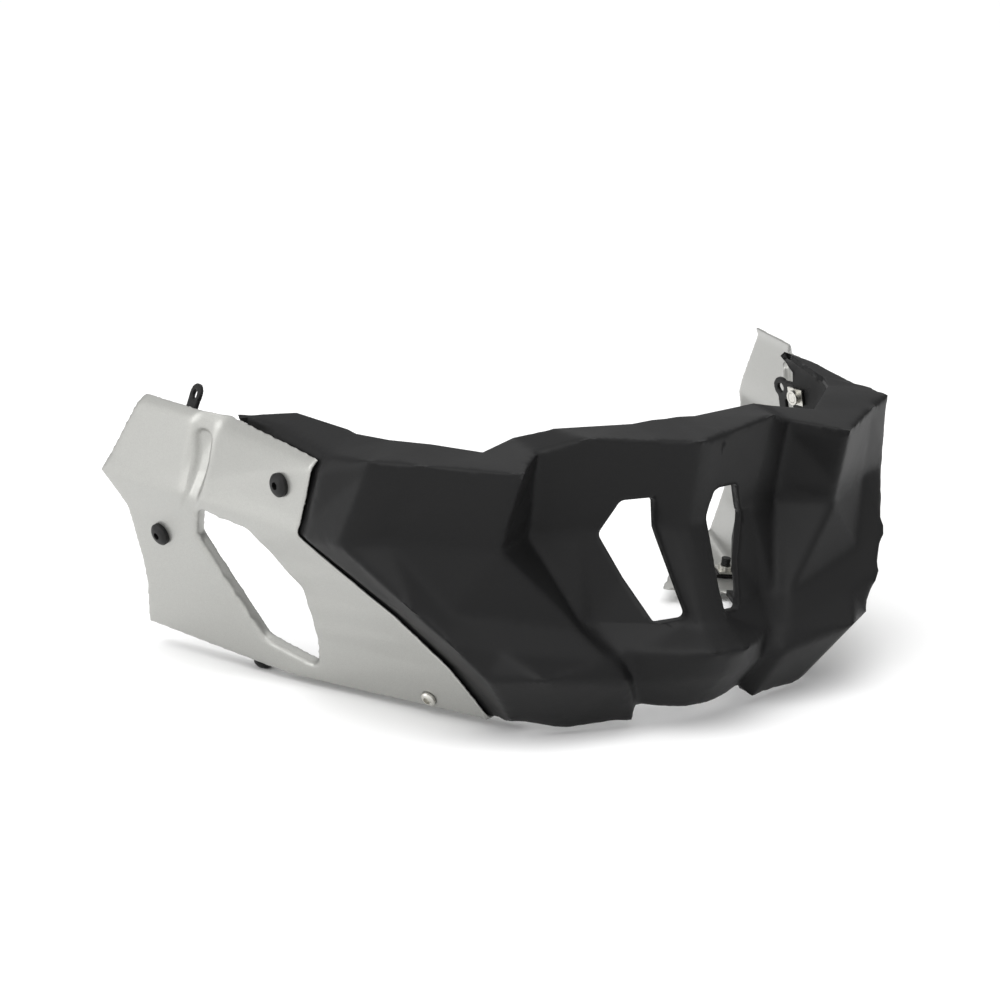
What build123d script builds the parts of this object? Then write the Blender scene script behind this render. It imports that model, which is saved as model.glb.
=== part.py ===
from build123d import *
import os

# Motorcycle belly pan: one black moulded front pan between two silver side panels, which are
# screwed to it and to two steel straps with an ear each. Millimetres, +Z up, the front looks
# towards -Y, the bike's right side is -X. The origin is under the middle, on the floor.

# Walls and turned edges
pan_wall = 3.0
panel_wall = 2.0
strap_wall = 2.5
pan_hem = 10.0
panel_hem = 16.0
hem_rise = 1.5
crease_proud = 3.0
rib_step = 5.0
wing_proud = 2.0
window_lip = 8.0
window_corner = 4.0
hex_lip = 6.0
hex_corner = 6.0
seat_gap = 0.4
head_seat = 0.1
rib_fade = 1.2
cut_reach = 60.0
window_cut_start = 65.0
window_cut = 100.0

# Fasteners and straps
thread = 6.0
hole_clearance = 0.6
hole_reach = 30.0
head_diameter = 13.0
head_height = 4.0
low_head_height = 6.5
head_flat_share = 0.28
head_edge_share = 0.35
socket_width = 4.0
socket_depth = 2.2
tip_head_diameter = 8.5
tip_head_height = 2.6
nut_width = 10.2
nut_length = 13.0
nut_sheet = 1.2
nut_barrel = 9.0
nut_height = 4.0
thread_play = 0.1
ear_diameter = 13.0
ear_bore = 5.5
strap_width = 12.0
leg_width = 7.0
screw_reach = 14.0
ear_offset = 20.0
ear_lift = 1.0
leg_drop = 20.0
leg_lap = 1.0
knee_inset = 9.0
shin_inset = 6.0
foot_half = 6.5
low_screw_inset = 10.5
heel_reach = 8.0
nut_slack = 2.5
twist_gap = 0.5
tip_nut_slack = 3.6

# Feature lines of the front pan's left half: ledge edge, top edge, waist, window foot, chin,
# lower crease and bottom edge
nose_ridge = [(0, -88, 158), (0, -121, 152), (0, -111, 105), (0, -137, 57),
              (0, -155, 47), (0, -146, 32), (0, -122, 8)]
pillar_edge = [(8, -87, 158), (8, -119, 152), (8, -109, 105), (8, -136, 57),
               (9, -153, 47), (9, -144, 32), (9, -121, 8)]
window_line = [(20, -86, 157), (20, -115, 153), (17, -105, 105), (16, -128, 57),
               (20, -146, 46), (20, -139, 31), (18, -119, 9)]
nose_crease = [(64, -79, 158), (58, -105, 157), (55, -91, 104), (54, -104, 58),
               (43, -124, 45), (36, -128, 30), (30, -114, 11)]
channel_floor = [(82, -68, 153), (80, -90, 149), (79, -79, 101), (62, -104, 58),
                 (49, -121, 44), (41, -124, 29), (33, -113, 11)]
cheek_edge = [(106, -78, 150), (103, -114, 145), (107, -97, 101), (68, -111, 58),
              (58, -125, 44), (50, -131, 32), (39, -118, 6)]
cheek_crease = [(126, -60, 153), (142, -84, 148), (154, -64, 106), (131, -89, 71),
                (113, -108, 52), (99, -128, 40), (76, -108, 4)]
cheek_bulge = [(142, -44, 154), (166, -68, 150), (177, -53, 105), (152, -86, 74),
               (138, -100, 58), (122, -110, 39), (99, -96, 9)]

# Outline of the left window, seen from the front
window_outline = [(19, 122), (16.5, 107), (11, 60), (27, 57), (46, 102), (37, 121)]

# Three points, front to rear, on each long line of the left side panel
panel_top = [(177, -32, 146), (191, 48, 155), (210, 118, 158)]
panel_fold = [(183, -16, 102), (205, 72, 106), (225, 155, 108)]
panel_bottom = [(102, -78, 4), (158, 47, 3), (200, 151, 14)]

# Rows of the panel, 0 at the top edge, 1 at the fold and 2 at the bottom, and the shares of its
# length at which its front edge, its rib and its rear edge cross them
row_heights = [0, 0.13, 0.78, 1, 1.2, 1.41, 1.56, 1.70, 2]
front_shares = [0, 0, 0, 0, -0.03, -0.06, -0.055, -0.05, 0]
rib_front_shares = [0.53, 0.54, 0.48, 0.46, 0.45, 0.47, 0.48, 0.50, 0.50]
rib_rear_shares = [0.64, 0.64, 0.59, 0.57, 0.57, 0.59, 0.61, 0.62, 0.62]
rear_shares = [1, 1, 1, 1, 0.912, 0.925, 0.935, 0.95, 1]
belly_tab_tip = (105, 68, 9)

# The hexagonal opening and the screws, as shares and rows of the panel
hex_outline = [(0.50, 1.07), (0.28, 1.09), (0.24, 1.38), (0.35, 1.76),
               (0.40, 1.90), (0.53, 1.81), (0.59, 1.25)]
upper_screw = (0.129, 0.455)
rear_screw = (0.768, 1.31)
tip_screw = (0.115, 1.93)
low_screw_share = 0.63
tab_bolt = (0.845, 0.46)
leg_knee = (0.66, 1.25)
leg_shin = (0.66, 1.80)
ear_centre = (185.5, 107, 156)
strap_neck = (196, 107, 128.5)
ear_along = (0, 1, 0)

# The pan's tail under the panel: reach of each row as a share of the way to the rib
joint_reach = -0.08
step_reach = -0.02
tail_middle = [0.50, 0.46, 0.42, 0.28, 0.12, 0.12, 0.14, 0.45, 0.45]
tail_end = [0.98, 0.74, 0.72, 0.36, 0.24, 0.24, 0.30, 0.92, 0.92]
top_stand = 4.0
waist_stand = 1.0
step_stand = 1.2
tongue_stand = 2.0
foot_stand = 2.5
step_stands = [step_stand] * 2 + [0] * 7
middle_stands = [top_stand, top_stand, waist_stand] + [0] * 3 + [foot_stand] * 3
end_stands = [tongue_stand] * 3 + [0] * 3 + [foot_stand] * 3
tab_run = (-1, 24, 0)
tail_ledges = [(152, -26, 155), (153, -18, 156), (164, 20, 159), (185, 48, 153)]
tail_rise = 4.0
foot_rise = 2.5


def on_line(points, share):
    """Point at a share of a three-point line, carried on straight past its ends."""
    first, middle, last = [Vector(*point) for point in points]
    if share < 0.5:
        return first + (middle - first) * (2 * share)
    return middle + (last - middle) * (2 * share - 1)


def on_panel(share, height):
    """Point on the plain outer face of the left panel."""
    if height < 1:
        upper, lower, part = panel_top, panel_fold, height
    else:
        upper, lower, part = panel_fold, panel_bottom, height - 1
    start = on_line(upper, share)
    return start + (on_line(lower, share) - start) * part


def panel_normal(share, height):
    """Outward direction of the left panel's face."""
    step = 0.01
    along = on_panel(share + step, height) - on_panel(share - step, height)
    down = on_panel(share, min(height + step, 2)) - on_panel(share, max(height - step, 0))
    return down.cross(along).normalized()


def patch(a, b, c, d, turned=False):
    """Two flat faces between four corners, parted from the first to the third or the other way."""
    if turned:
        a, b, c, d = b, c, d, a
    return [Face(Wire.make_polygon(corners)) for corners in ((a, b, c), (a, c, d))]


def offsets(grid, depth):
    """The grid's points moved inwards, so that each face moves by the same depth."""
    columns, rows = len(grid), len(grid[0])
    moved = []
    for i in range(columns):
        line = []
        for j in range(rows):
            normals = []
            for a in (i - 1, i):
                for b in (j - 1, j):
                    if 0 <= a < columns - 1 and 0 <= b < rows - 1:
                        across = grid[a + 1][b + 1] - grid[a][b]
                        other = grid[a + 1][b] - grid[a][b + 1]
                        normals.append(across.cross(other).normalized())
            mean = sum(normals, Vector(0, 0, 0)).normalized()
            fit = sum(mean.dot(n) for n in normals) / len(normals)
            line.append(grid[i][j] - mean * (depth / max(fit, 0.5)))
        moved.append(line)
    return moved


def sheet(grid, depth, mirror_line=0):
    """Closed wall of the given depth behind a grid of points, parted alike on both sides of a line."""
    back = offsets(grid, depth)
    columns, rows = len(grid), len(grid[0])
    faces = []
    for i in range(columns - 1):
        for j in range(rows - 1):
            for side in (grid, back):
                corners = (side[i][j], side[i + 1][j], side[i + 1][j + 1], side[i][j + 1])
                faces += patch(*corners, turned=i < mirror_line)
    for i in range(columns - 1):
        for j in (0, rows - 1):
            faces += patch(grid[i][j], grid[i + 1][j], back[i + 1][j], back[i][j])
    for j in range(rows - 1):
        for i in (0, columns - 1):
            faces += patch(grid[i][j], grid[i][j + 1], back[i][j + 1], back[i][j])
    return Solid(Shell(faces))


def mirrored(line):
    return [Vector(-point.X, point.Y, point.Z) for point in line]


def panel_columns():
    """Lines of the left panel: front edge, both sides of the rib and rear edge."""
    proud = [0, crease_proud] + [0] * (len(row_heights) - 2)
    columns = []
    for shares, step in ((front_shares, 0), (rib_front_shares, -rib_step),
                         (rib_rear_shares, wing_proud), (rear_shares, 0)):
        line = []
        for share, height, out in zip(shares, row_heights, proud):
            fade = max(0, rib_fade - height) / rib_fade
            stand = out + step * fade
            line.append(on_panel(share, height) + panel_normal(share, height) * stand)
        columns.append(line)
    return columns


def panel_grid(with_tab):
    """The panel's lines with the hem turned inwards under each."""
    columns = panel_columns()
    ends = [line[-1] for line in columns]
    for i, line in enumerate(columns):
        along = ends[min(i + 1, len(ends) - 1)] - ends[max(i - 1, 0)]
        inward = Vector(-along.Y, along.X, 0).normalized()
        line.append(line[-1] + inward * panel_hem + Vector(0, 0, hem_rise))
    if with_tab:
        columns[2][-1] = Vector(*belly_tab_tip)
    return columns


def tail_line(face, reaches, stands):
    """Line of the pan's tail along a face of the panel, stood off inwards row by row."""
    middle_row = len(row_heights) // 2
    rows = [row for row in range(len(face[0])) if row != middle_row]
    line = []
    for row, reach, stand in zip(rows, reaches, stands):
        point = face[0][row] + (face[1][row] - face[0][row]) * reach
        line.append(point - panel_normal(0, 1) * stand)
    return line


def tail_lines():
    """The joint, the step behind it, the middle and the end of the pan's left tail."""
    outer = panel_grid(False)
    seat = offsets(outer, panel_wall + seat_gap)
    flush = [0] * len(tail_end)
    joint = tail_line(outer, [joint_reach] * len(tail_end), flush)
    step = tail_line(seat, [step_reach] * len(tail_end), step_stands)
    middle = tail_line(seat, tail_middle, middle_stands)
    end = tail_line(seat, tail_end, end_stands)
    for line in (joint, step, middle):
        line[0] += Vector(0, 0, tail_rise)
    joint[-2:] = [point + Vector(0, 0, foot_rise) for point in joint[-2:]]
    end[1:3] = [point + Vector(*tab_run) for point in middle[1:3]]
    return joint, step, middle, end


def pan_grid():
    """Lines of the pan from its right tail round the nose to its left tail."""
    lines = (nose_ridge, pillar_edge, window_line, nose_crease, channel_floor, cheek_edge, cheek_crease,
             cheek_bulge)
    left = [[Vector(*point) for point in line] for line in lines]
    for line in left:
        top, waist = line[1], line[2]
        line[2:2] = [top + (waist - top) * height for height in row_heights[1:3]]
    ends = [line[-1] for line in left]
    for i, line in enumerate(left):
        before = mirrored(ends[1:2])[0] if i == 0 else ends[i - 1]
        along = ends[min(i + 1, len(ends) - 1)] - before
        inward = Vector(-along.Y, along.X, 0).normalized()
        line.append(line[-1] + inward * pan_hem + Vector(0, 0, hem_rise))
    for line, ledge in zip(tail_lines(), tail_ledges):
        left.append([Vector(*ledge)] + line)
    return [mirrored(line) for line in left[:0:-1]] + left


def window_prism(grow):
    """Both windows as prisms through the nose, grown by a distance."""
    face = make_face(FilletPolyline(*window_outline, radius=window_corner, close=True))
    if grow:
        face = offset(face, amount=grow)
    prism = extrude(Plane.XZ.offset(window_cut_start) * face, amount=window_cut)
    return prism + right(prism)


def front_pan():
    grid = pan_grid()
    middle = len(grid) // 2
    wall = sheet(grid, pan_wall, middle)
    lip = sheet(grid, pan_wall + window_lip, middle) & (window_prism(pan_wall) - window_prism(0))
    return wall - window_prism(0) + lip


def hex_plane():
    """Plane of the panel's hexagonal opening, looking out."""
    share = sum(point[0] for point in hex_outline) / len(hex_outline)
    height = sum(point[1] for point in hex_outline) / len(hex_outline)
    return Plane(origin=on_panel(share, height), x_dir=(0, 1, 0), z_dir=panel_normal(share, height))


def hex_prism(grow):
    """The hexagonal opening as a prism through the panel, grown by a distance."""
    plane = hex_plane()
    local = [plane.to_local_coords(on_panel(*point)) for point in hex_outline]
    corners = [(point.X, point.Y) for point in local]
    face = make_face(FilletPolyline(*corners, radius=hex_corner, close=True))
    if grow:
        face = offset(face, amount=grow)
    return extrude(plane * face, amount=cut_reach, both=True)


def side_panel(with_tab):
    """The left panel."""
    grid = panel_grid(with_tab)
    wall = sheet(grid, panel_wall)
    lip = sheet(grid, panel_wall + hex_lip) & (hex_prism(panel_wall) - hex_prism(0))
    return wall - hex_prism(0) + lip


def panel_spot(share, height):
    """Plane on the left panel's outer face, looking out, at a share and a row."""
    columns = panel_columns()
    lines = (front_shares, rib_front_shares, rib_rear_shares, rear_shares)

    def point(share, height):
        row = max(j for j in range(len(row_heights) - 1) if row_heights[j] <= height)
        down = (height - row_heights[row]) / (row_heights[row + 1] - row_heights[row])
        at = [shares[row] + (shares[row + 1] - shares[row]) * down for shares in lines]
        i = max(k for k in range(3) if at[k] <= share)
        over = (share - at[i]) / (at[i + 1] - at[i])
        first, last = columns[i], columns[i + 1]
        if over > down:
            return first[row] + (last[row] - first[row]) * over + (last[row + 1] - last[row]) * down
        return first[row] + (first[row + 1] - first[row]) * down + (last[row + 1] - first[row + 1]) * over

    step = 0.01
    here = point(share, height)
    along = point(share + step, height) - point(share - step, height)
    down = point(share, height + step) - point(share, height - step)
    return Plane(origin=here, x_dir=along, z_dir=down.cross(along))


def hem_spot(share, inset):
    """Plane under the left panel's hem, looking down, an inset in from its bottom edge."""
    edge = on_line(panel_bottom, share)
    along = on_line(panel_bottom, share + 0.01) - on_line(panel_bottom, share - 0.01)
    inward = Vector(-along.Y, along.X, 0).normalized()
    slope = inward * panel_hem + Vector(0, 0, hem_rise)
    down = slope.cross(along).normalized()
    return Plane(origin=edge + slope * (inset / panel_hem), x_dir=along, z_dir=down)


def screw(plane, diameter, height, reach):
    """Domed socket screw with its head seated on a plane and its thread going in."""
    with BuildPart() as part:
        with BuildSketch(Plane.XZ):
            with BuildLine():
                Polyline((0, height), (diameter * head_flat_share, height),
                         (diameter / 2, height * head_edge_share), (diameter / 2, 0),
                         (thread / 2, 0), (thread / 2, -reach), (0, -reach), close=True)
            make_face()
        revolve(axis=Axis.Z)
        with BuildSketch(Plane.XY.offset(height)):
            RegularPolygon(socket_width / 2, 6, major_radius=False)
        extrude(amount=-socket_depth, mode=Mode.SUBTRACT)
    return plane * Pos(0, 0, head_seat) * part.part


def clip_nut(plane, depth):
    """Sheet nut with a threaded barrel, the given depth behind a plane."""
    plate = Pos(0, 0, -nut_sheet / 2) * Box(nut_length, nut_width, nut_sheet)
    barrel = Pos(0, 0, -nut_height / 2) * Cylinder(nut_barrel / 2, nut_height)
    bore = Cylinder(thread / 2 + thread_play, cut_reach)
    return plane * Pos(0, 0, -depth) * (plate + barrel - bore)


def clearance_hole(plane):
    return plane * Cylinder((thread + hole_clearance) / 2, hole_reach)


def spot_face(plane, diameter):
    """Cut for a flat seat round a screw's head, above a plane."""
    return plane * Pos(0, 0, head_height / 2) * Cylinder((diameter + hole_clearance) / 2, head_height)


def strip(stations, directions, widths):
    """Bent steel strip through points on its outer face, with its width's direction and size at each."""
    halves = [way.normalized() * (width / 2) for way, width in zip(directions, widths)]
    near = [point - half for point, half in zip(stations, halves)]
    far = [point + half for point, half in zip(stations, halves)]
    return sheet([near, far], strap_wall)


def right(shape):
    return mirror(shape, about=Plane.YZ)


def tab_plane():
    """Outer face of the pan's left tab where its strap is bolted, looking out."""
    top, foot = tail_lines()[2][1:3]
    run = Vector(*tab_run)
    spot = top + (foot - top) * tab_bolt[1] + run * tab_bolt[0]
    return Plane(origin=spot, x_dir=run, z_dir=(foot - top).cross(run))


def left_strap():
    """Flat plate bolted to the tab, with an ear behind it and a leg down to the panel's hem."""
    plate_plane = tab_plane().offset(seat_gap)
    low = hem_spot(low_screw_share, low_screw_inset)
    with BuildSketch(plate_plane) as outline:
        Circle(strap_width / 2)
        with Locations((ear_offset / 2, 0)):
            Rectangle(ear_offset, strap_width)
        with Locations((ear_offset, ear_lift)):
            Circle(ear_diameter / 2)
    plate = extrude(outline.sketch, amount=strap_wall)
    drop = Box(leg_width, leg_drop, strap_wall)
    plate += plate_plane * Pos(ear_offset, -leg_drop / 2, strap_wall / 2) * drop
    face = plate_plane.offset(strap_wall)
    start = face.from_local_coords((ear_offset, leg_lap - leg_drop, 0))
    knee = on_panel(*leg_knee) - panel_normal(*leg_knee) * knee_inset
    shin = on_panel(*leg_shin) - panel_normal(*leg_shin) * shin_inset
    floor = low.origin - low.z_dir * (panel_wall + seat_gap)
    heel = floor + low.y_dir * heel_reach
    toe = floor - low.y_dir * foot_half
    ways = [face.x_dir] + [low.x_dir] * 4
    leg = strip([start, knee, shin, heel, toe], ways, [leg_width] * 3 + [strap_width] * 2)
    bore = plate_plane * Pos(ear_offset, ear_lift, 0) * Cylinder(ear_bore / 2, hole_reach)
    return plate + leg - bore - clearance_hole(plate_plane) - clearance_hole(low)


def right_strap():
    """Strip from the rear screw up to an ear above the panel, drawn on the left side."""
    rear = panel_spot(*rear_screw)
    centre = Vector(*ear_centre)
    seat = rear.origin - rear.z_dir * (panel_wall + seat_gap + twist_gap)
    along = Vector(*ear_along)
    neck = Vector(*strap_neck)
    stations = [centre, neck, seat + rear.y_dir * foot_half, seat - rear.y_dir * foot_half]
    body = strip(stations, [along, along, rear.x_dir, rear.x_dir], [strap_width] * len(stations))
    normal = (neck - centre).cross(along).normalized()
    disc = Plane(origin=centre, x_dir=along, z_dir=normal)
    round_end = disc * Pos(0, 0, -strap_wall / 2) * Cylinder(ear_diameter / 2, strap_wall)
    bore = disc * Cylinder(ear_bore / 2, hole_reach)
    return body + round_end - bore - clearance_hole(rear)


def pair(shape):
    return [shape, right(shape)]


upper = panel_spot(*upper_screw)
rear = panel_spot(*rear_screw)
tip = panel_spot(*tip_screw)
low = hem_spot(low_screw_share, low_screw_inset)
tab = tab_plane()
behind_panel = panel_wall + seat_gap
# The pan's wall stands off about half as far at the upper screws as at its middle line
upper_stand = (top_stand + waist_stand) / 4
behind_pan = behind_panel + upper_stand + pan_wall + nut_slack
behind_foot = behind_panel + foot_stand + pan_wall + tip_nut_slack
behind_strap = behind_panel + strap_wall + seat_gap
panel_holes = [clearance_hole(plane) for plane in (upper, rear, tip, low)]
panel_holes += [spot_face(plane, head_diameter) for plane in (upper, rear, low)]
panel_holes += [spot_face(tip, tip_head_diameter)]
pan_holes = pair(clearance_hole(upper)) + pair(clearance_hole(tip)) + [clearance_hole(tab)]
panel_screws = [screw(plane, head_diameter, head_height, screw_reach) for plane in (upper, rear)]
panel_screws += [screw(low, head_diameter, low_head_height, screw_reach)]
strap_face = tab.offset(seat_gap + strap_wall)
strap_grip = strap_wall + pan_wall + nut_height + 2 * seat_gap
upper_nuts = pair(clip_nut(upper, behind_pan))
rear_nuts = [clip_nut(rear, behind_panel + twist_gap), right(clip_nut(rear, behind_strap + twist_gap))]
low_nuts = [clip_nut(low, behind_strap), right(clip_nut(low, behind_panel))]

nodes = {
    "front_pan": [front_pan() - pan_holes],
    "left_side_panel": [side_panel(True) - panel_holes],
    "right_side_panel": [right(side_panel(False) - panel_holes)],
    "left_strap": [left_strap()],
    "right_strap": [right(right_strap())],
    "left_panel_screws": panel_screws,
    "right_panel_screws": [right(piece) for piece in panel_screws],
    "tip_screws": pair(screw(tip, tip_head_diameter, tip_head_height, screw_reach)),
    "left_strap_screw": [screw(strap_face, tip_head_diameter, tip_head_height, strap_grip)],
    "left_strap_nut": [clip_nut(tab, pan_wall + seat_gap)],
    "left_clip_nuts": [upper_nuts[0], rear_nuts[0], low_nuts[0]],
    "right_clip_nuts": [upper_nuts[1], rear_nuts[1], low_nuts[1]],
    "tip_nuts": pair(clip_nut(tip, behind_foot)),
}

# Everything is set down on the floor, over the origin
solids = {name: [s for piece in pieces for s in piece.solids()] for name, pieces in nodes.items()}
box = Compound([s for group in solids.values() for s in group]).bounding_box()
to_floor = Pos(-box.center().X, -box.center().Y, -box.min.Z)

os.makedirs("parts", exist_ok=True)
for name, group in solids.items():
    placed = [to_floor * s for s in group]
    export_step(Compound(children=placed) if len(placed) > 1 else placed[0], "parts/" + name + ".step")
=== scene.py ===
import math

import bmesh
import bpy
from bpy.props import FloatProperty, FloatVectorProperty, IntProperty, PointerProperty
from mathutils import Matrix, Quaternion, Vector
from mathutils.bvhtree import BVHTree
from mathutils.geometry import intersect_point_line
from mathutils.kdtree import KDTree


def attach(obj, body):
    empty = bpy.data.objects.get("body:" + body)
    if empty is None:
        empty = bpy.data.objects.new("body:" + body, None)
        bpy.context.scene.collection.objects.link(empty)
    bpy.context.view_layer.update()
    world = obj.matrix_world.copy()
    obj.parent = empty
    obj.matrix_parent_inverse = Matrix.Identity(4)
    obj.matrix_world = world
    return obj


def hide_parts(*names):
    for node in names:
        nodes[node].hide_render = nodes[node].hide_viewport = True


bl_info = {
    "name": "Belly Pan Dresser",
    "version": (1, 0, 0),
    "blender": (4, 5, 0),
    "location": "3D View > Sidebar > Belly Pan",
    "description": "Dresses the solids of a motorcycle belly pan with moulded, painted and plated finishes",
    "category": "Object",
}

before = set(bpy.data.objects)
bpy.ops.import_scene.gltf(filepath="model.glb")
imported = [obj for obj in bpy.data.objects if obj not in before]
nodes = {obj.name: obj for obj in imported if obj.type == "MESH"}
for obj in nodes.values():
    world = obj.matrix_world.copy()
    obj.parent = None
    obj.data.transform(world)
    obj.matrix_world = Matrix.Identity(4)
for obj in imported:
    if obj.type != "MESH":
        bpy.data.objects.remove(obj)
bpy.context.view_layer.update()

# Seats of the screws on the left side: a point under the head and the way the head faces, in metres
UPPER_SEAT = ((0.18569, -0.004954, 0.127432), (0.97748, -0.206, -0.04585))
REAR_SEAT = ((0.205486, 0.111672, 0.077121), (0.92882, -0.2479, -0.27538))
LOW_SEAT = ((0.159184, 0.076976, 0.007029), (-0.04975, 0.1249, -0.99092))
TIP_SEAT = ((0.120465, -0.046369, 0.010786), (0.81133, -0.36712, -0.45494))
STRAP_SEAT = ((0.185002, 0.032998, 0.131395), (0.98344, 0.04098, 0.17654))

# Both sides of the pan, and the sign of x on each
SIDES = (("left", 1), ("right", -1))

# The left window's outline in the nose, as x and z in metres
WINDOW = (
    (0.019, 0.1222), (0.0165, 0.1072), (0.011, 0.0602),
    (0.027, 0.0572), (0.046, 0.1022), (0.037, 0.1212),
)

# The middle of the left panel's channel in metres, the way that its outer face looks there, and the share
# of its half width that slopes
CHANNEL = (
    (0.1985, 0.0652, 0.1404), (0.1995, 0.0664, 0.1280),
    (0.2043, 0.0707, 0.1069), (0.2033, 0.0793, 0.0964),
)
CHANNEL_FACE = (0.932, -0.362, 0.0)
CHANNEL_SLOPE = 0.5

# Cleaning of a skin's mesh, in metres: nearer points become one, and thinner faces go
JOIN_DISTANCE = 1e-6
SLIVER = 0.00002

# Splitting of a skin's long edges: the longest edge after a round as a share of the one before, and the
# angle in radians under which two faces count as flat
SPLIT_SHARE = 0.7
FLAT_ANGLE = 0.01

# Angles between two faces past which their edge is square, or is shaded sharp on a skin or a screw
SQUARE_ANGLE = math.radians(72)
SKIN_SHARP = math.radians(50)
SCREW_SHARP = math.radians(35)

# Share of the way to its neighbours that a point goes in one round of smoothing, and bands in a bevel
SOFTENING = 0.5
BEVEL_BANDS = 2

# The window lips, in walls: their reach from the outline, and the depth behind the front where they begin.
# The front is felt for at a step outside them, in metres
LIP_REACH = 1.15
LIP_START = 1.2
LIP_STEP = 0.0003

# The open rims, in walls: the depth under a face where its probes start, the least depth under a rim, its
# greatest width, and how far from a window's outline a square edge belongs to it. Then the probes' directions
PROBE_INSET = 0.1
RIM_DEPTH = 2
RIM_WIDTH = 1.25
WINDOW_REACH = 2
PROBE_WAYS = 6

# The screws' heads: facets around, bands up the side and over the crown, the crown's drop at its edge, the
# socket's sides, and its greatest depth, the drop and the depth as shares of the height
HEAD_FACETS = 48
HEAD_BANDS = 4
CROWN_BANDS = 8
CROWN_DROP = 0.5
SOCKET_SIDES = 6
SOCKET_SHARE = 0.75

# The screws' threads: facets around, bands along, turns, and half the groove's depth as a share of the radius
THREAD_FACETS = 24
THREAD_BANDS = 84
THREAD_TURNS = 14
THREAD_GROOVE = 0.06

# The photograph's viewpoint: place, right, up and back, and the width of the camera's sensor in millimetres
VIEW_PLACE = (-0.7177, -1.1424, 0.430825)
VIEW_RIGHT = (0.8632, -0.5049, 0.0)
VIEW_UP = (0.1221, 0.2088, 0.9704)
VIEW_BACK = (-0.4899, -0.8376, 0.2419)
SENSOR_WIDTH = 36.0

# The lights: place, the point that each one looks at, and its width, in metres
KEY_LIGHT = ((-0.5, -0.6, 1.7), (0, 0, 0.08), 1.6)
FILL_LIGHT = ((-1.6, 0.45, 0.4), (-0.1, 0, 0.08), 1.0)
RIM_LIGHT = ((0.9, 1.3, 1.0), (0, 0, 0.1), 1.0)

# The way to the brightest part of the surroundings, how far along it they are darkest, and the matt floor
BRIGHT_SIDE = (-0.4, -0.4, 0.82)
DARK_END = -0.35
FLOOR_ROUGHNESS = 0.9


def length(name, description, default):
    """A setting that is a length in metres."""
    return FloatProperty(name=name, description=description, default=default, unit="LENGTH", precision=5)


def colour(name, description, default):
    """A setting that is a colour."""
    return FloatVectorProperty(name=name, description=description, default=default, size=3, min=0, max=1,
                               subtype="COLOR")


def share(name, description, default):
    """A setting that is a share from 0 to 1."""
    return FloatProperty(name=name, description=description, default=default, min=0, max=1, subtype="FACTOR")


def rounds(name, description, default):
    """A setting that is a number of rounds."""
    return IntProperty(name=name, description=description, default=default, min=0)


def level(name, description, default):
    """A setting that is the strength of the surroundings."""
    return FloatProperty(name=name, description=description, default=default, min=0)


def power(name, description, default):
    """A setting that is a light's power."""
    return FloatProperty(name=name, description=description, default=default, min=0, unit="POWER")


class PanSettings(bpy.types.PropertyGroup):
    """Looks of the black moulded pan."""
    cell: length("Cell", "Longest edge in the moulded skin", 0.0038)
    wall: length("Wall", "Thickness of the moulded wall", 0.003)
    edge: length("Edge", "Width of the small rounding along the rims", 0.0005)
    lip_cut: share("Lip Cut", "Share of the window lips' depth left out", 0.75)
    rounding: rounds("Rounding", "Rounds of smoothing over the moulded creases", 10)
    rim: length("Rim", "Distance from an open rim within which creases stay sharper", 0.007)
    plastic: colour("Plastic", "Colour of the black plastic", (0.0035, 0.0035, 0.0037))
    roughness: share("Roughness", "Roughness of the moulded grain", 0.5)
    grain: length("Grain", "Size of the moulded grain", 0.0007)


class PanelSettings(bpy.types.PropertyGroup):
    """Looks of the silver side panels."""
    cell: length("Cell", "Size of the cells that the panel's skin is rebuilt from", 0.00105)
    wall: length("Wall", "Thickness of the panel's wall", 0.002)
    steps: rounds("Steps", "Rounds of smoothing over the steps of the cells", 20)
    rounding: rounds("Rounding", "Rounds of smoothing over the panel's folds", 30)
    rim: length("Rim", "Distance from an open rim within which folds stay sharper", 0.005)
    channel_width: length("Channel Width", "Width of the upright channel", 0.0125)
    channel_depth: length("Channel Depth", "Depth of the upright channel", 0.0034)
    channel_fade: length("Channel Fade", "Height over which the channel runs out at its foot", 0.024)
    silver: colour("Silver", "Colour of the silver paint", (0.35, 0.35, 0.333))
    roughness: share("Roughness", "Roughness of the silver paint", 0.36)
    flake: length("Flake", "Size of the paint's metal flakes", 0.00035)


class HardwareSettings(bpy.types.PropertyGroup):
    """Sizes and looks of the straps, screws and nuts."""
    cell: length("Cell", "Size of the cells that the straps' skin is rebuilt from", 0.0005)
    steps: rounds("Steps", "Rounds of smoothing over the steps of the cells", 5)
    head: length("Head", "Diameter of the black screws' heads", 0.013)
    head_height: length("Head Height", "Height of the black screws' heads", 0.004)
    low_height: length("Low Head Height", "Height of the heads under the hems", 0.0065)
    small_head: length("Small Head", "Diameter of the bright screws' heads", 0.0085)
    small_height: length("Small Head Height", "Height of the bright screws' heads", 0.0026)
    hex_width: length("Socket", "Width across the flats of the socket", 0.004)
    hex_depth: length("Socket Depth", "Depth of the socket", 0.0022)
    thread: length("Thread", "Diameter of the thread", 0.006)
    shank: length("Shank", "Length of the thread under the head", 0.014)
    strap_shank: length("Strap Shank", "Length of the strap's thread under its head", 0.0103)
    lift: length("Lift", "Gap under a head", 0.0001)
    black: colour("Black Steel", "Colour of the black straps and screws", (0.004, 0.004, 0.004))
    zinc: colour("Zinc", "Colour of the bright screws and nuts", (0.62, 0.61, 0.57))


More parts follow.
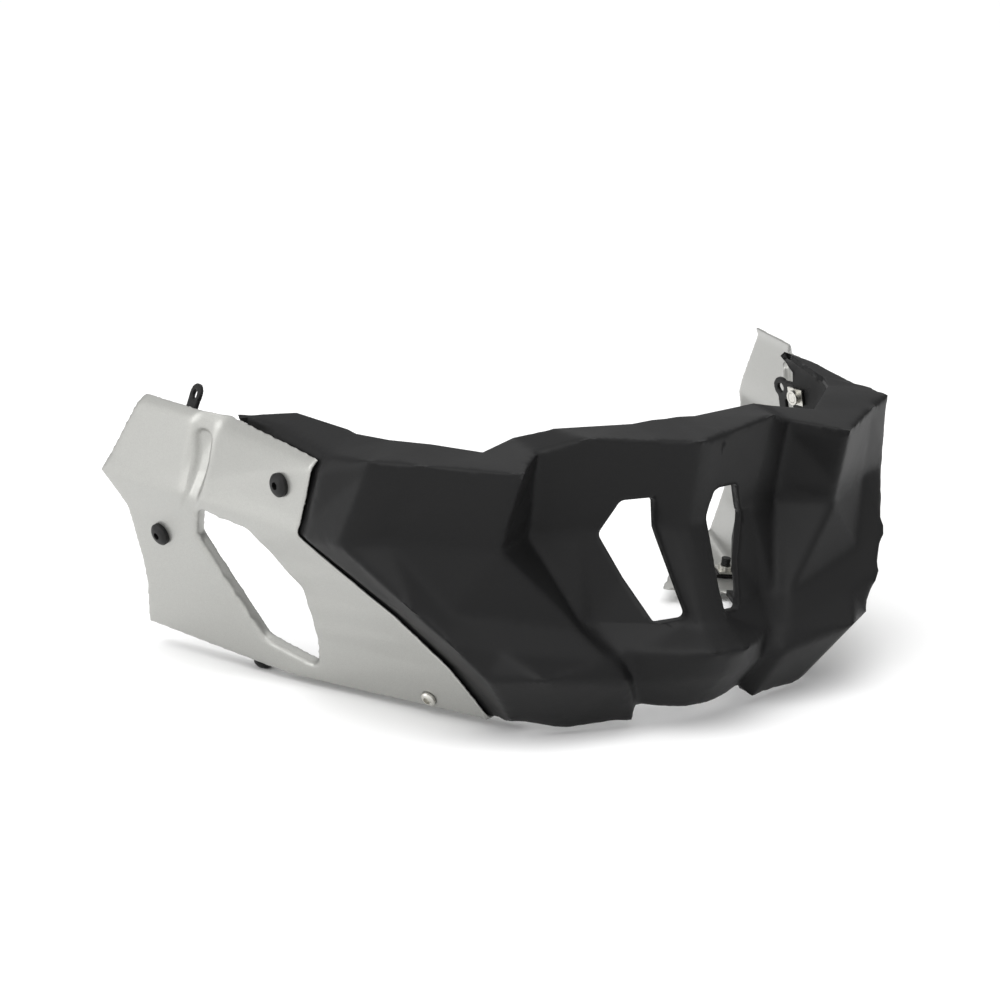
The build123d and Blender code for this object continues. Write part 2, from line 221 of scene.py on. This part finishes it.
class StageSettings(bpy.types.PropertyGroup):
    """Floor, light and camera."""
    floor: colour("Floor", "Colour of the floor", (0.94, 0.94, 0.94))
    reach: length("Reach", "Half the width of the floor", 40.0)
    horizon: level("Horizon", "Strength of the surroundings at the dark side", 0.12)
    zenith: level("Zenith", "Strength of the surroundings at the bright side", 1.65)
    key: power("Key", "Power of the large light overhead", 12.0)
    fill: power("Fill", "Power of the light at the left of the picture", 6.0)
    rim: power("Rim", "Power of the light behind", 1.5)
    lens: FloatProperty(name="Lens", description="Focal length of the camera", default=88.446, unit="CAMERA")


def finish_piece(piece, slot, *replaced):
    """Carries a finished piece on the object and hides the solids it stands for; the slot is not used."""
    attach(piece, "root")
    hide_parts(*replaced)
    return piece


def new_object(name, data):
    """An object in the scene for a mesh, a light or a camera."""
    piece = bpy.data.objects.new(name, data)
    bpy.context.scene.collection.objects.link(piece)
    return piece


def baked(piece):
    """A piece with its modifiers applied, so that it is a plain mesh."""
    graph = bpy.context.evaluated_depsgraph_get()
    graph.update()
    mesh = bpy.data.meshes.new_from_object(piece.evaluated_get(graph), depsgraph=graph)
    piece.modifiers.clear()
    old = piece.data
    piece.data = mesh
    if old.users == 0:
        bpy.data.meshes.remove(old)
    if not len(mesh.polygons):
        raise RuntimeError(piece.name + " came out empty")
    return piece


def merged_copy(node, name):
    """A copy of a solid's mesh with its loose triangles joined."""
    mesh = nodes[node].data.copy()
    mesh.name = name
    work = bmesh.new()
    work.from_mesh(mesh)
    bmesh.ops.remove_doubles(work, verts=work.verts, dist=JOIN_DISTANCE)
    work.to_mesh(mesh)
    work.free()
    mesh.materials.clear()
    return new_object(name, mesh)


def softened(piece, times, group=""):
    """Smooths a piece's mesh the given number of times, by the weights of a group if one is named."""
    soften = piece.modifiers.new("soften", "SMOOTH")
    soften.factor = SOFTENING
    soften.iterations = times
    soften.vertex_group = group
    return baked(piece)


def divided(piece, size):
    """Splits a piece's long edges in turn, until none is longer than the size; the form stays."""
    mesh = bmesh.new()
    mesh.from_mesh(piece.data)
    bmesh.ops.dissolve_degenerate(mesh, dist=SLIVER, edges=mesh.edges)
    bmesh.ops.triangulate(mesh, faces=mesh.faces)
    limit = max(edge.calc_length() for edge in mesh.edges)
    while limit > size:
        limit = max(limit * SPLIT_SHARE, size)
        long = [edge for edge in mesh.edges if edge.calc_length() > limit]
        bmesh.ops.subdivide_edges(mesh, edges=long, cuts=1)
        bmesh.ops.triangulate(mesh, faces=[face for face in mesh.faces if len(face.verts) > 3])
        flat = [edge for edge in mesh.edges if edge.calc_face_angle(math.pi) < FLAT_ANGLE]
        bmesh.ops.beautify_fill(mesh, faces=mesh.faces, edges=flat, method="ANGLE")
    mesh.to_mesh(piece.data)
    mesh.free()
    return piece


def clipped(value):
    """A value held between 0 and 1."""
    return max(0, min(1, value))


def eased(value):
    """A value from 0 to 1 that leaves both ends gently."""
    return value * value * (3 - 2 * value)


def on_side(place, sign):
    """A place or direction of the left half, or its mirror image where the sign is -1."""
    x, y, z = place
    return Vector((x * sign, y, z))


def line_distance(point, line):
    """Distance of a point from a line of straight stretches."""
    best = math.inf
    for start, end in zip(line, line[1:]):
        near, along = intersect_point_line(point, start, end)
        near = start if along < 0 else end if along > 1 else near
        best = min(best, (point - near).length)
    return best


def surface(mesh):
    """Search tree over a mesh's faces."""
    return BVHTree.FromPolygons([v.co for v in mesh.vertices], [f.vertices for f in mesh.polygons])


def window_ring():
    """The left window's outline, closed, as points with no depth."""
    return [Vector((x, 0, z)) for x, z in WINDOW + WINDOW[:1]]


def flattened(place):
    """A place on either half of the pan, without its depth and laid over the left half."""
    return Vector((abs(place.x), 0, place.z))


def shorten_lips(piece, settings):
    """Draws the window lips of the pan's skin back towards the wall, as shallow as they look."""
    mesh = piece.data
    tree = surface(mesh)
    ring = window_ring()
    middle = sum(ring[:-1], Vector()) / len(WINDOW)
    for vertex in mesh.vertices:
        flat = flattened(vertex.co)
        if line_distance(flat, ring) > settings.wall * LIP_REACH:
            continue
        out = flat + (flat - middle).normalized() * LIP_STEP
        sign = math.copysign(1, vertex.co.x)
        front = tree.ray_cast(Vector((out.x * sign, -1, out.z)), Vector((0, 1, 0)))[0]
        past = vertex.co.y - front.y - settings.wall * LIP_START if front else 0
        if past > 0:
            vertex.co.y -= past * settings.lip_cut
    return piece


def sink_channel(piece, sign, settings):
    """Presses the upright channel into a panel's skin, both faces of its wall together."""
    face = on_side(CHANNEL_FACE, sign)
    line = [on_side(place, sign) for place in CHANNEL]
    line = [place - face * place.dot(face) for place in line]
    half = settings.channel_width / 2
    for vertex in piece.data.vertices:
        away = line_distance(vertex.co - face * vertex.co.dot(face), line)
        pressed = eased(clipped((half - away) / (half * CHANNEL_SLOPE)))
        full = clipped((vertex.co.z - line[-1].z) / settings.channel_fade)
        vertex.co -= face * (settings.channel_depth * full * pressed)
    return piece


def least_width(tree, place, normal):
    """Least distance between the surfaces on both sides of a place, square to a normal."""
    side = normal.orthogonal().normalized()
    best = math.inf
    for step in range(PROBE_WAYS):
        way = Quaternion(normal, math.pi * step / PROBE_WAYS) @ side
        ahead = tree.ray_cast(place, way)[3]
        behind = tree.ray_cast(place, -way)[3]
        if ahead is not None and behind is not None:
            best = min(best, ahead + behind)
    return best


def rim_points(piece, wall):
    """Numbers of the vertices on a wall's open rims and on the square edges around the pan's windows."""
    mesh = piece.data
    tree = surface(mesh)
    points = set()
    for face in mesh.polygons:
        inside = face.center - face.normal * (wall * PROBE_INSET)
        depth = tree.ray_cast(inside, -face.normal)[3]
        deep = depth is None or depth > wall * RIM_DEPTH
        if deep and least_width(tree, inside, face.normal) < wall * RIM_WIDTH:
            points.update(face.vertices)
    work = bmesh.new()
    work.from_mesh(mesh)
    ring = window_ring()
    square = [edge for edge in work.edges if edge.calc_face_angle(0) > SQUARE_ANGLE]
    for edge in square:
        if line_distance(flattened(edge.verts[0].co), ring) < wall * WINDOW_REACH:
            points.update(vertex.index for vertex in edge.verts)
    work.free()
    return points


def weigh_rims(piece, settings, neighbours):
    """Adds a group whose weight is 0 at the wall's rims and its neighbours, and 1 away from both."""
    mesh = piece.data
    points = rim_points(piece, settings.wall)
    rims = KDTree(len(points))
    for index in points:
        rims.insert(mesh.vertices[index].co, index)
    rims.balance()
    trees = [surface(nodes[name].data) for name in neighbours]
    group = piece.vertex_groups.new(name="away_from_rims")
    for vertex in mesh.vertices:
        near = [rims.find(vertex.co)[2]] + [tree.find_nearest(vertex.co)[3] for tree in trees]
        group.add([vertex.index], eased(clipped(min(near) / settings.rim)), "REPLACE")
    return group.name


def round_creases(piece, settings, neighbours=()):
    """Rounds a skin's creases, and leaves it as it is at its rims and where it meets a neighbour."""
    softened(piece, settings.rounding, weigh_rims(piece, settings, neighbours))
    piece.vertex_groups.clear()


def moulded(node, name, settings):
    """Skin in the place of the thin-walled pan, with crisp rims and rounded creases."""
    piece = divided(shorten_lips(merged_copy(node, name), settings), settings.cell)
    round_creases(piece, settings, ("left_side_panel", "right_side_panel"))
    bevel = piece.modifiers.new("rim", "BEVEL")
    bevel.limit_method = "ANGLE"
    bevel.angle_limit = SQUARE_ANGLE
    bevel.width = settings.edge
    bevel.segments = BEVEL_BANDS
    baked(piece)
    piece.data.shade_smooth()
    piece.data.set_sharp_from_angle(angle=SKIN_SHARP)
    return piece


def rounded(node, name, settings):
    """Skin in the place of a solid, with every edge rounded a little."""
    piece = merged_copy(node, name)
    remesh = piece.modifiers.new("cells", "REMESH")
    remesh.mode = "VOXEL"
    remesh.voxel_size = settings.cell
    remesh.adaptivity = 0
    baked(piece)
    softened(piece, settings.steps)
    piece.data.shade_smooth()
    return piece


def new_material(name):
    """A material made of nodes."""
    material = bpy.data.materials.new(name)
    material.use_nodes = True
    return material


def shader_input(material, name):
    """An input of a material's surface shader."""
    return material.node_tree.nodes["Principled BSDF"].inputs[name]


def texture(material, kind, **values):
    """Adds a texture on a piece's own coordinates, with its inputs set by name."""
    tree = material.node_tree
    node = tree.nodes.new("ShaderNodeTex" + kind)
    for name, value in values.items():
        node.inputs[name.title()].default_value = value
    place = tree.nodes.get("Texture Coordinate") or tree.nodes.new("ShaderNodeTexCoord")
    tree.links.new(place.outputs["Object"], node.inputs["Vector"])
    return node


def ramp(material, name, source, low, high, start=0.3, end=0.7):
    """Spreads two colours over a texture's output, for the named input of the shader."""
    tree = material.node_tree
    node = tree.nodes.new("ShaderNodeValToRGB")
    tree.links.new(source, node.inputs["Fac"])
    node.color_ramp.elements[0].position = start
    node.color_ramp.elements[0].color = low
    node.color_ramp.elements[1].position = end
    node.color_ramp.elements[1].color = high
    tree.links.new(node.outputs["Color"], shader_input(material, name))


def bump(material, source, strength, distance):
    """Raises the surface by a texture's output, on top of the bumps that it has."""
    tree = material.node_tree
    node = tree.nodes.new("ShaderNodeBump")
    node.inputs["Strength"].default_value = strength
    node.inputs["Distance"].default_value = distance
    tree.links.new(source, node.inputs["Height"])
    target = shader_input(material, "Normal")
    if target.is_linked:
        tree.links.new(target.links[0].from_socket, node.inputs["Normal"])
    tree.links.new(node.outputs["Normal"], target)


def grey(value):
    """A grey, or a plain value for an input that isn't a colour."""
    return (value, value, value, 1)


def tinted(base, factor):
    """A colour made lighter or darker by a factor."""
    return tuple(min(1, part * factor) for part in base) + (1,)


def grained_plastic(settings):
    """Black moulded plastic: a fine spark-eroded grain, faint flow clouds and rubbed patches."""
    material = new_material("grained_black_plastic")
    cloud = texture(material, "Noise", scale=14, detail=4, roughness=0.55).outputs["Fac"]
    grain = texture(material, "Noise", scale=1 / settings.grain, detail=2, roughness=0.6).outputs["Fac"]
    pebble = texture(material, "Voronoi", scale=0.55 / settings.grain).outputs["Distance"]
    base = settings.plastic
    rough = settings.roughness
    ramp(material, "Base Color", cloud, low=tinted(base, 0.85), high=tinted(base, 1.2))
    ramp(material, "Roughness", cloud, low=grey(rough - 0.03), high=grey(rough + 0.05))
    bump(material, pebble, strength=0.16, distance=0.00012)
    bump(material, grain, strength=0.14, distance=0.0001)
    shader_input(material, "Specular IOR Level").default_value = 0.2
    return material


def silver_paint(settings):
    """Satin silver paint: fine metal flakes under a thin clear coat, with faint orange peel."""
    material = new_material("satin_silver_paint")
    flake = texture(material, "Voronoi", scale=1 / settings.flake).outputs["Color"]
    peel = texture(material, "Noise", scale=260, detail=2, roughness=0.5).outputs["Fac"]
    cloud = texture(material, "Noise", scale=9, detail=3, roughness=0.5).outputs["Fac"]
    speck = material.node_tree.nodes.new("ShaderNodeSeparateColor")
    material.node_tree.links.new(flake, speck.inputs["Color"])
    base = settings.silver
    rough = settings.roughness
    ramp(material, "Base Color", speck.outputs["Red"], low=tinted(base, 0.94), high=tinted(base, 1.07),
         start=0, end=1)
    ramp(material, "Roughness", cloud, low=grey(rough - 0.03), high=grey(rough + 0.04))
    bump(material, peel, strength=0.06, distance=0.0002)
    shader_input(material, "Metallic").default_value = 0.7
    shader_input(material, "Coat Weight").default_value = 0.25
    shader_input(material, "Coat Roughness").default_value = 0.18
    return material


def coated_steel(settings):
    """Black coated steel with a fine powder texture and faint scuffs."""
    material = new_material("black_coated_steel")
    powder = texture(material, "Noise", scale=1500, detail=2, roughness=0.6).outputs["Fac"]
    scuff = texture(material, "Noise", scale=90, detail=5, roughness=0.65).outputs["Fac"]
    base = settings.black
    ramp(material, "Base Color", scuff, low=tinted(base, 0.9), high=tinted(base, 1.7), start=0.45, end=0.8)
    ramp(material, "Roughness", scuff, low=grey(0.42), high=grey(0.55))
    bump(material, powder, strength=0.2, distance=0.00008)
    shader_input(material, "Specular IOR Level").default_value = 0.25
    return material


def zinc_plate(settings):
    """Bright zinc plate with cloudy crystals and fine scratches."""
    material = new_material("bright_zinc_plate")
    crystal = texture(material, "Voronoi", scale=420).outputs["Distance"]
    scratch = texture(material, "Noise", scale=700, detail=3, roughness=0.6).outputs["Fac"]
    base = settings.zinc
    ramp(material, "Base Color", crystal, low=tinted(base, 1.05), high=tinted(base, 0.85), start=0, end=1)
    ramp(material, "Roughness", scratch, low=grey(0.24), high=grey(0.4))
    bump(material, scratch, strength=0.12, distance=0.00005)
    shader_input(material, "Metallic").default_value = 1.0
    return material


def placed(seat, sign):
    """A screw's seat on the left side, or its mirror image where the sign is -1."""
    return tuple(on_side(part, sign) for part in seat)


def screw_tree():
    """Node tree that puts a domed socket screw on each point, facing along the point's own direction."""
    tree = bpy.data.node_groups.new("socket_screws", "GeometryNodeTree")
    interface = tree.interface
    interface.new_socket("Geometry", in_out="INPUT", socket_type="NodeSocketGeometry")
    for name in ("Head", "Head Height", "Socket", "Socket Depth", "Thread", "Shank", "Lift"):
        interface.new_socket(name, in_out="INPUT", socket_type="NodeSocketFloat")
    interface.new_socket("Finish", in_out="INPUT", socket_type="NodeSocketMaterial")
    interface.new_socket("Geometry", in_out="OUTPUT", socket_type="NodeSocketGeometry")
    sizes = tree.nodes.new("NodeGroupInput").outputs
    result = tree.nodes.new("NodeGroupOutput")

    def link(source, target):
        tree.links.new(source, target)

    def fed(node, values):
        """First output of a node whose inputs take numbers or other nodes' outputs."""
        for value, socket in zip(values, node.inputs):
            if isinstance(value, (int, float)):
                socket.default_value = value
            else:
                link(value, socket)
        return node.outputs[0]

    def calc(operation, *values):
        """Result of a sum on numbers or outputs."""
        node = tree.nodes.new("ShaderNodeMath")
        node.operation = operation
        return fed(node, values)

    def triple(x, y, z):
        """Three numbers or outputs as one vector."""
        return fed(tree.nodes.new("ShaderNodeCombineXYZ"), (x, y, z))

    def drum(facets, bands, rings):
        """Closed drum of radius 1 and depth 1 around the origin."""
        node = tree.nodes.new("GeometryNodeMeshCylinder")
        node.fill_type = "TRIANGLE_FAN"
        for key, value in (("Vertices", facets), ("Side Segments", bands), ("Fill Segments", rings),
                           ("Radius", 1.0), ("Depth", 1.0)):
            node.inputs[key].default_value = value
        return node.outputs["Mesh"]

    def moved(shape, offset, scale):
        """A shape scaled, and then moved."""
        node = tree.nodes.new("GeometryNodeTransform")
        link(shape, node.inputs["Geometry"])
        link(offset, node.inputs["Translation"])
        link(scale, node.inputs["Scale"])
        return node.outputs["Geometry"]

    def reshaped(shape, x, y, z):
        """A shape with its points put in new places."""
        node = tree.nodes.new("GeometryNodeSetPosition")
        link(shape, node.inputs["Geometry"])
        link(triple(x, y, z), node.inputs["Position"])
        return node.outputs["Geometry"]

    place = tree.nodes.new("ShaderNodeSeparateXYZ")
    link(tree.nodes.new("GeometryNodeInputPosition").outputs[0], place.inputs[0])
    x, y, z = place.outputs

    # The head: a drum whose top falls away towards its edge, with a socket cut into it
    square = calc("ADD", calc("MULTIPLY", x, x), calc("MULTIPLY", y, y))
    crown = calc("SUBTRACT", 1.0, calc("MULTIPLY", calc("MULTIPLY", square, square), CROWN_DROP))
    height = calc("MULTIPLY", calc("ADD", z, 0.5), crown)
    dome = reshaped(drum(HEAD_FACETS, HEAD_BANDS, CROWN_BANDS), x, y, height)
    half = calc("MULTIPLY", sizes["Head"], 0.5)
    head = moved(dome, triple(0, 0, sizes["Lift"]), triple(half, half, sizes["Head Height"]))
    corner = calc("MULTIPLY", sizes["Socket"], 0.5 / math.cos(math.pi / SOCKET_SIDES))
    top = calc("ADD", sizes["Lift"], sizes["Head Height"])
    deep = calc("MULTIPLY", sizes["Socket Depth"], 2.0)
    key_hole = moved(drum(SOCKET_SIDES, 1, 1), triple(0, 0, top), triple(corner, corner, deep))
    cut = tree.nodes.new("GeometryNodeMeshBoolean")
    cut.operation = "DIFFERENCE"
    link(head, cut.inputs["Mesh 1"])
    link(key_hole, cut.inputs["Mesh 2"])

    # The thread: a rod with even grooves, from the seat down
    turns = calc("SINE", calc("MULTIPLY", z, 2 * math.pi * THREAD_TURNS))
    wave = calc("ADD", 1 - THREAD_GROOVE, calc("MULTIPLY", turns, THREAD_GROOVE))
    bar = drum(THREAD_FACETS, THREAD_BANDS, 1)
    rod = reshaped(bar, calc("MULTIPLY", x, wave), calc("MULTIPLY", y, wave), z)
    thin = calc("MULTIPLY", sizes["Thread"], 0.5)
    below = calc("MULTIPLY", sizes["Shank"], -0.5)
    shank = moved(rod, triple(0, 0, below), triple(thin, thin, sizes["Shank"]))

    # One screw on each point, turned the way that the point faces
    both = tree.nodes.new("GeometryNodeJoinGeometry")
    link(shank, both.inputs[0])
    link(cut.outputs["Mesh"], both.inputs[0])
    facing = tree.nodes.new("GeometryNodeInputNamedAttribute")
    facing.data_type = "FLOAT_VECTOR"
    facing.inputs["Name"].default_value = "facing"
    turn = tree.nodes.new("FunctionNodeAlignRotationToVector")
    turn.axis = "Z"
    link(facing.outputs["Attribute"], turn.inputs["Vector"])
    spread = tree.nodes.new("GeometryNodeInstanceOnPoints")
    link(sizes["Geometry"], spread.inputs["Points"])
    link(both.outputs[0], spread.inputs["Instance"])
    link(turn.outputs[0], spread.inputs["Rotation"])
    real = tree.nodes.new("GeometryNodeRealizeInstances")
    link(spread.outputs[0], real.inputs[0])
    paint = tree.nodes.new("GeometryNodeSetMaterial")
    link(real.outputs[0], paint.inputs["Geometry"])
    link(sizes["Finish"], paint.inputs["Material"])
    link(paint.outputs[0], result.inputs[0])
    return tree


def screws(name, seats, head, height, shank, finish):
    """Screws of one size with their heads on the given seats."""
    settings = bpy.context.scene.bellypan_hardware
    mesh = bpy.data.meshes.new(name)
    mesh.from_pydata([spot for spot, facing in seats], [], [])
    direction = mesh.attributes.new("facing", "FLOAT_VECTOR", "POINT")
    for item, (spot, facing) in zip(direction.data, seats):
        item.vector = facing
    piece = new_object(name, mesh)
    tree = bpy.data.node_groups.get("socket_screws") or screw_tree()
    modifier = piece.modifiers.new("screws", "NODES")
    modifier.node_group = tree
    values = {"Head": head, "Head Height": height, "Socket": settings.hex_width, "Finish": finish,
              "Socket Depth": min(settings.hex_depth, height * SOCKET_SHARE), "Thread": settings.thread,
              "Shank": shank, "Lift": settings.lift}
    for item in tree.interface.items_tree:
        if item.in_out == "INPUT" and item.name in values:
            modifier[item.identifier] = values[item.name]
    return baked(piece)


def joined(first, second):
    """One piece from two of the same finish; the second one's object goes with its mesh."""
    work = bmesh.new()
    work.from_mesh(first.data)
    work.from_mesh(second.data)
    work.to_mesh(first.data)
    work.free()
    bpy.data.meshes.remove(second.data)
    return first


def finish_screws(piece, slot, node):
    """Shades a group of screws and carries it on the object."""
    piece.data.shade_smooth()
    piece.data.set_sharp_from_angle(angle=SCREW_SHARP)
    return finish_piece(piece, slot, node)


class BELLYPAN_OT_pan(bpy.types.Operator):
    """Make the black moulded pan with its windows"""
    bl_idname = "bellypan.pan"
    bl_label = "Moulded Pan"

    def execute(self, context):
        settings = context.scene.bellypan_pan
        piece = moulded("front_pan", "moulded_pan", settings)
        piece.data.materials.append(grained_plastic(settings))
        finish_piece(piece, "pan_plastic", "front_pan")
        return {"FINISHED"}


class BELLYPAN_OT_panels(bpy.types.Operator):
    """Make the two silver side panels"""
    bl_idname = "bellypan.panels"
    bl_label = "Side Panels"

    def execute(self, context):
        settings = context.scene.bellypan_panels
        paint = silver_paint(settings)
        for side, sign in SIDES:
            node = side + "_side_panel"
            piece = rounded(node, side + "_silver_panel", settings)
            round_creases(piece, settings)
            sink_channel(piece, sign, settings)
            piece.data.materials.append(paint)
            finish_piece(piece, "silver_panel", node)
        return {"FINISHED"}


class BELLYPAN_OT_straps(bpy.types.Operator):
    """Make the two black steel straps with their ears"""
    bl_idname = "bellypan.straps"
    bl_label = "Steel Straps"

    def execute(self, context):
        settings = context.scene.bellypan_hardware
        steel = coated_steel(settings)
        for side in ("left", "right"):
            node = side + "_strap"
            piece = rounded(node, side + "_steel_strap", settings)
            piece.data.materials.append(steel)
            finish_piece(piece, "black_steel", node)
        return {"FINISHED"}


class BELLYPAN_OT_screws(bpy.types.Operator):
    """Make the black panel screws, the bright tip screws and the strap's screw"""
    bl_idname = "bellypan.screws"
    bl_label = "Screws"

    def execute(self, context):
        settings = context.scene.bellypan_hardware
        black = bpy.data.materials.get("black_coated_steel") or coated_steel(settings)
        bright = zinc_plate(settings)
        for side, sign in SIDES:
            node = side + "_panel_screws"
            faces = [placed(UPPER_SEAT, sign), placed(REAR_SEAT, sign)]
            hems = [placed(LOW_SEAT, sign)]
            upper = screws(node + "_turned", faces, settings.head, settings.head_height, settings.shank,
                           black)
            low = screws(side + "_low", hems, settings.head, settings.low_height, settings.shank, black)
            finish_screws(joined(upper, low), "black_screw", node)
        tips = [placed(TIP_SEAT, sign) for side, sign in SIDES]
        bright_groups = (("tip_screws", tips, settings.shank),
                         ("left_strap_screw", [STRAP_SEAT], settings.strap_shank))
        for node, seats, shank in bright_groups:
            piece = screws(node + "_turned", seats, settings.small_head, settings.small_height, shank, bright)
            finish_screws(piece, "bright_steel", node)
        return {"FINISHED"}


class BELLYPAN_OT_nuts(bpy.types.Operator):
    """Plate the clip nuts"""
    bl_idname = "bellypan.nuts"
    bl_label = "Clip Nuts"

    def execute(self, context):
        zinc = bpy.data.materials.get("bright_zinc_plate") or zinc_plate(context.scene.bellypan_hardware)
        for node in ("left_strap_nut", "left_clip_nuts", "right_clip_nuts", "tip_nuts"):
            nodes[node].data.materials.clear()
            nodes[node].data.materials.append(zinc)
        return {"FINISHED"}


def soft_light(name, place, target, size, watts):
    """A round soft light at a place, turned to a target."""
    data = bpy.data.lights.new(name, "AREA")
    data.shape = "DISK"
    data.size = size
    data.energy = watts
    lamp = new_object(name, data)
    lamp.location = place
    lamp.rotation_euler = (Vector(target) - Vector(place)).to_track_quat("-Z", "Y").to_euler()


def surround(world, settings):
    """White surroundings, brightest overhead and on the near side, like a tent lit from there."""
    world.use_nodes = True
    tree = world.node_tree
    air = tree.nodes["Background"]
    air.inputs["Color"].default_value = grey(1)
    towards = tree.nodes.new("ShaderNodeVectorMath")
    towards.operation = "DOT_PRODUCT"
    towards.inputs[1].default_value = BRIGHT_SIDE
    tree.links.new(tree.nodes.new("ShaderNodeTexCoord").outputs["Generated"], towards.inputs[0])
    spread = tree.nodes.new("ShaderNodeMapRange")
    spread.inputs["From Min"].default_value = DARK_END
    spread.inputs["To Min"].default_value = settings.horizon
    spread.inputs["To Max"].default_value = settings.zenith
    tree.links.new(towards.outputs["Value"], spread.inputs["Value"])
    tree.links.new(spread.outputs["Result"], air.inputs["Strength"])


def lay_floor(settings):
    """A wide pale floor under the object."""
    reach = settings.reach
    mesh = bpy.data.meshes.new("floor")
    corners = [(-reach, -reach, 0), (reach, -reach, 0), (reach, reach, 0), (-reach, reach, 0)]
    mesh.from_pydata(corners, [], [(0, 1, 2, 3)])
    material = new_material("pale_floor")
    shader_input(material, "Base Color").default_value = tuple(settings.floor) + (1,)
    shader_input(material, "Roughness").default_value = FLOOR_ROUGHNESS
    mesh.materials.append(material)
    floor = new_object("floor", mesh)


def set_camera(scene, settings):
    """The camera, at the photograph's viewpoint."""
    data = bpy.data.cameras.new("camera")
    data.sensor_fit = "HORIZONTAL"
    data.sensor_width = SENSOR_WIDTH
    data.lens = settings.lens
    camera = new_object("camera", data)
    turn = Matrix((VIEW_RIGHT, VIEW_UP, VIEW_BACK)).transposed().to_4x4()
    camera.matrix_world = Matrix.Translation(VIEW_PLACE) @ turn
    scene.camera = camera


class BELLYPAN_OT_stage(bpy.types.Operator):
    """Make the pale floor, the soft lights and the camera"""
    bl_idname = "bellypan.stage"
    bl_label = "Stage"

    def execute(self, context):
        scene = context.scene
        settings = scene.bellypan_stage
        scene.view_settings.view_transform = "Standard"
        scene.world = scene.world or bpy.data.worlds.new("surroundings")
        surround(scene.world, settings)
        lay_floor(settings)
        soft_light("key_light", *KEY_LIGHT, settings.key)
        soft_light("fill_light", *FILL_LIGHT, settings.fill)
        soft_light("rim_light", *RIM_LIGHT, settings.rim)
        set_camera(scene, settings)
        return {"FINISHED"}


class BELLYPAN_PT_sidebar(bpy.types.Panel):
    """Lists the pieces of the belly pan in the sidebar"""
    bl_idname = "BELLYPAN_PT_sidebar"
    bl_label = "Belly Pan"
    bl_space_type = "VIEW_3D"
    bl_region_type = "UI"
    bl_category = "Belly Pan"

    def draw(self, context):
        for operator in OPERATORS:
            self.layout.operator(operator.bl_idname)
        for key in SETTINGS:
            group = getattr(context.scene, key)
            column = self.layout.box().column()
            for name in group.bl_rna.properties.keys():
                if name not in ("rna_type", "name"):
                    column.prop(group, name)


SETTINGS = {
    "bellypan_pan": PanSettings,
    "bellypan_panels": PanelSettings,
    "bellypan_hardware": HardwareSettings,
    "bellypan_stage": StageSettings,
}
OPERATORS = (BELLYPAN_OT_pan, BELLYPAN_OT_panels, BELLYPAN_OT_straps, BELLYPAN_OT_screws, BELLYPAN_OT_nuts,
             BELLYPAN_OT_stage)


def register():
    """Adds the settings, the operators and the sidebar to Blender."""
    for group in SETTINGS.values():
        bpy.utils.register_class(group)
    for key, group in SETTINGS.items():
        setattr(bpy.types.Scene, key, PointerProperty(type=group))
    for operator in OPERATORS:
        bpy.utils.register_class(operator)
    bpy.utils.register_class(BELLYPAN_PT_sidebar)


def unregister():
    """Takes them out again."""
    bpy.utils.unregister_class(BELLYPAN_PT_sidebar)
    for operator in reversed(OPERATORS):
        bpy.utils.unregister_class(operator)
    for key, group in SETTINGS.items():
        delattr(bpy.types.Scene, key)
        bpy.utils.unregister_class(group)


def main():
    """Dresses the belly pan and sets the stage."""
    register()
    bpy.ops.bellypan.pan()
    bpy.ops.bellypan.panels()
    bpy.ops.bellypan.straps()
    bpy.ops.bellypan.screws()
    bpy.ops.bellypan.nuts()
    bpy.ops.bellypan.stage()


if __name__ == "__main__":
    main()
